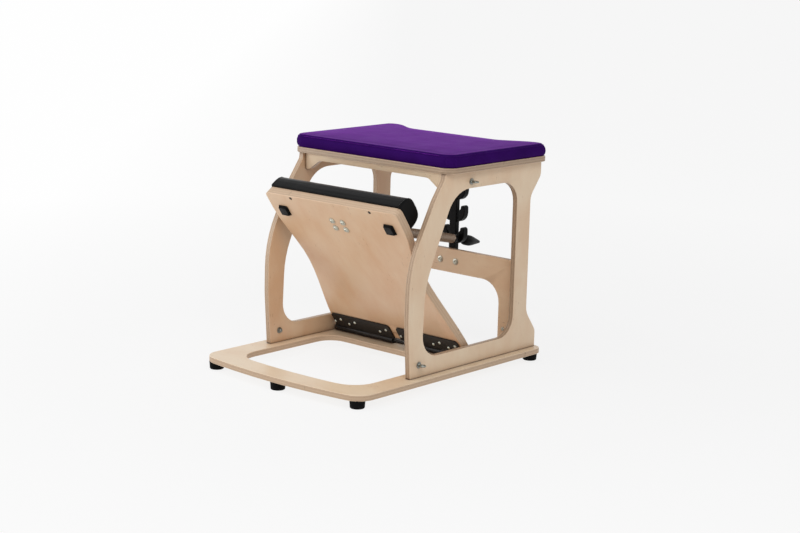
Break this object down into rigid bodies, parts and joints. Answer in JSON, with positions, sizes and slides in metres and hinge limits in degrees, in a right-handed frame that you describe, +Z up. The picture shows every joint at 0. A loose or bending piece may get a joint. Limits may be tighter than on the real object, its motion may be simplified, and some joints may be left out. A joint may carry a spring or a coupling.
{
  "type": "pilates chair",
  "caption": "Plywood exercise chair: padded seat on side frames, a hinged pedal panel with a padded bar, and a coil spring hooked on a rear tree.",
  "frame": {"origin": "centre of the object's box in plan, at floor level under the feet", "axes": "+Z up, -Y towards the front where the pedal is, +X towards the right seen from the front"},
  "size_m": [0.6, 0.8354, 0.631],
  "materials": {
    "birch_ply": "satin lacquered birch plywood",
    "black_rubber": "matt moulded rubber",
    "purple_vinyl": "fine-grained upholstery vinyl over foam",
    "black_vinyl": "fine-grained upholstery vinyl over foam",
    "black_coated_steel": "satin black coated steel",
    "zinc_plated_steel": "bright zinc plate",
    "black_nylon": "moulded nylon",
    "nickel_plated_wire": "nickel plated spring wire"
  },
  "bodies": {
    "root": {"base_plate": "birch_ply", "left_side_frame": "birch_ply", "right_side_frame": "birch_ply", "front_seat_rail": "birch_ply", "rear_seat_rail": "birch_ply", "rear_arch": "birch_ply", "seat_board": "birch_ply", "front_left_foot": "black_rubber", "front_middle_foot": "black_rubber", "front_right_foot": "black_rubber", "rear_left_foot": "black_rubber", "rear_right_foot": "black_rubber", "seat_cushion": "purple_vinyl", "base_hinge_leaf": "black_coated_steel", "hinge_pin": "black_coated_steel", "left_lower_eyebolt": "zinc_plated_steel", "left_upper_eyebolt": "zinc_plated_steel", "right_lower_eyebolt": "zinc_plated_steel", "right_upper_eyebolt": "zinc_plated_steel", "left_arch_cap": "zinc_plated_steel", "right_arch_cap": "zinc_plated_steel", "left_tree_bolt": "zinc_plated_steel", "right_tree_bolt": "zinc_plated_steel", "left_tree_nut": "zinc_plated_steel", "right_tree_nut": "zinc_plated_steel", "spring_tree": "black_nylon"},
    "pedal": {"pedal_panel": "birch_ply", "pedal_pad": "black_vinyl", "left_pad_screw": "black_coated_steel", "right_pad_screw": "black_coated_steel", "left_bumper": "black_rubber", "right_bumper": "black_rubber", "spring_bracket": "black_coated_steel", "left_bracket_bolt": "zinc_plated_steel", "right_bracket_bolt": "zinc_plated_steel", "left_pad_bolt": "zinc_plated_steel", "right_pad_bolt": "zinc_plated_steel", "left_bracket_nut": "zinc_plated_steel", "right_bracket_nut": "zinc_plated_steel", "left_bracket_pin": "zinc_plated_steel", "right_bracket_pin": "zinc_plated_steel", "left_hinge_plate": "black_coated_steel", "right_hinge_plate": "black_coated_steel", "hinge_screw_1": "zinc_plated_steel", "hinge_screw_2": "zinc_plated_steel", "hinge_screw_3": "zinc_plated_steel", "hinge_screw_4": "zinc_plated_steel", "hinge_screw_5": "zinc_plated_steel", "hinge_screw_6": "zinc_plated_steel", "hinge_screw_7": "zinc_plated_steel", "hinge_screw_8": "zinc_plated_steel", "hinge_screw_9": "zinc_plated_steel", "hinge_screw_10": "zinc_plated_steel", "hinge_screw_11": "zinc_plated_steel", "hinge_screw_12": "zinc_plated_steel"},
    "spring_tail": {"spring_rear_plug": "black_nylon", "spring_knob": "black_nylon", "spring_coil": "nickel_plated_wire"},
    "spring_head": {"spring_front_plug": "black_nylon", "spring_eye": "zinc_plated_steel"}
  },
  "joints": [
    {"name": "pedal_hinge", "type": "hinge", "parent": "root", "child": "pedal", "pos_m": [0, 0.08956, 0.047], "axis": [1, 0, 0], "range_deg": [0, 55], "stiffness_Nm_per_rad": 30, "springref_deg": -25.78},
    {"name": "spring_swing", "type": "hinge", "parent": "root", "child": "spring_tail", "pos_m": [0.0168, 0.32326, 0.3192], "axis": [1, 0, 0], "range_deg": [0, 30.9]},
    {"name": "spring_stretch", "type": "slide", "parent": "spring_tail", "child": "spring_head", "axis": [0, -0.9791, 0.2032], "range_m": [0, 0.2431], "deforming": ["spring_coil"]}
  ],
  "couplings": [
    {"joint": "spring_swing", "follows": "pedal_hinge", "ratio": 0.55954},
    {"joint": "spring_stretch", "follows": "pedal_hinge", "m_per_rad": 0.25258}
  ]
}
